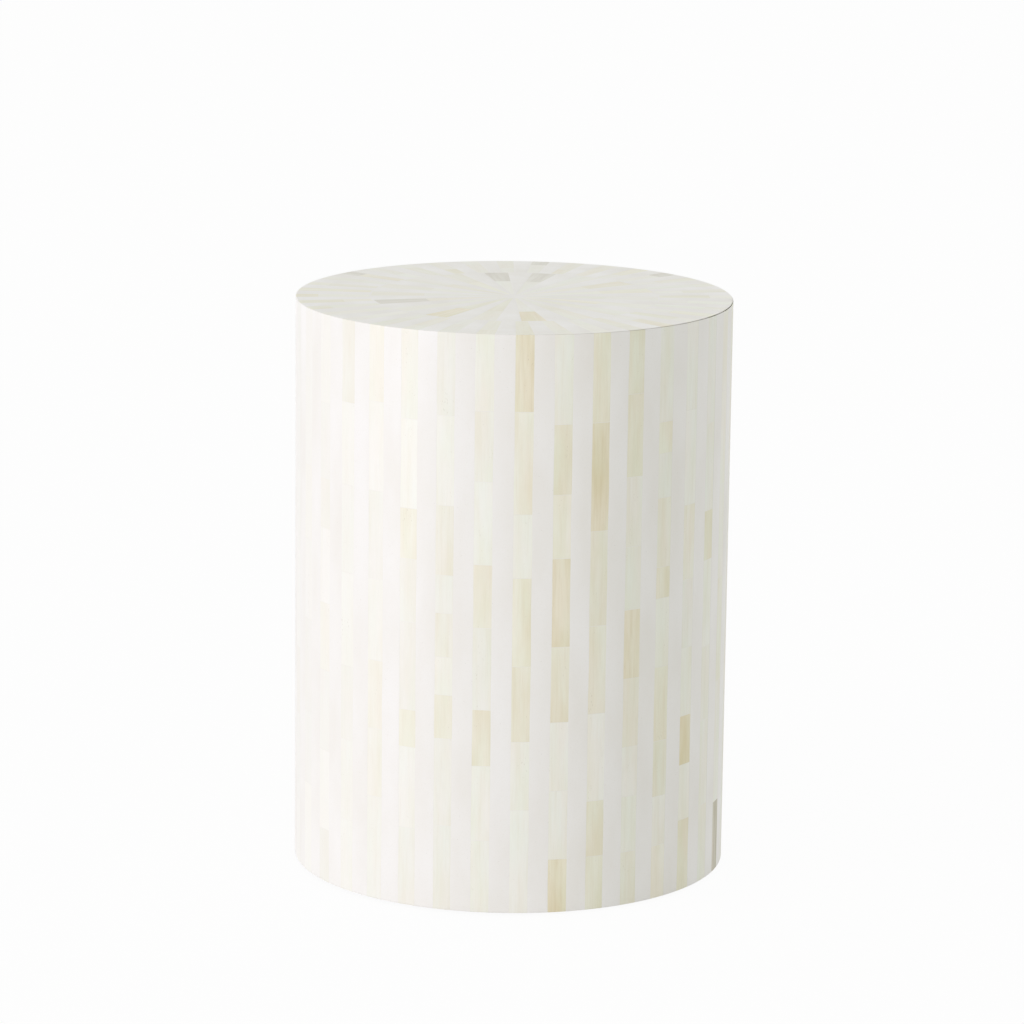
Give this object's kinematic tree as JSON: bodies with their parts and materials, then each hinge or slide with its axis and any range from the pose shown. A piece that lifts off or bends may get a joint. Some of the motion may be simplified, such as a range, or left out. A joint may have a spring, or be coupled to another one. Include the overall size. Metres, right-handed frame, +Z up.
{
  "type": "drum stool",
  "caption": "Straight round drum stool faced with upright bone slats set in white resin, with a sunburst inlay on its flat seat; a seat or low side table.",
  "frame": {"origin": "on the floor under the middle of the drum", "axes": "+Z up along the drum's axis, -Y towards the front of the picture, +X to the right"},
  "size_m": [0.348, 0.348, 0.46],
  "materials": {
    "white_resin": "satin",
    "board": "matte",
    "framing": "matte",
    "bent_ply": "matte",
    "screw_steel": "satin",
    "glide_nylon": "satin",
    "bone_ivory": "satin",
    "bone_cream": "satin",
    "bone_honey": "satin",
    "bone_amber": "satin",
    "bone_smoke": "satin"
  },
  "bodies": {
    "root": {"seat_board": "board", "base_board": "board", "lower_former": "framing", "middle_former": "framing", "upper_former": "framing", "inner_skin": "bent_ply", "outer_skin": "bent_ply", "wall_resin": "white_resin", "seat_resin": "white_resin", "seat_screws": "screw_steel", "base_screws": "screw_steel", "batten_screws": "screw_steel", "glide_screws": "screw_steel", "batten_1": "framing", "batten_2": "framing", "batten_3": "framing", "batten_4": "framing", "batten_5": "framing", "batten_6": "framing", "glide_1": "glide_nylon", "glide_2": "glide_nylon", "glide_3": "glide_nylon", "glide_4": "glide_nylon", "wall_bone_ivory": "bone_ivory", "seat_bone_ivory": "bone_ivory", "wall_bone_cream": "bone_cream", "seat_bone_cream": "bone_cream", "wall_bone_honey": "bone_honey", "seat_bone_honey": "bone_honey", "wall_bone_amber": "bone_amber", "seat_bone_amber": "bone_amber", "wall_bone_smoke": "bone_smoke", "seat_bone_smoke": "bone_smoke"}
  },
  "joints": []
}
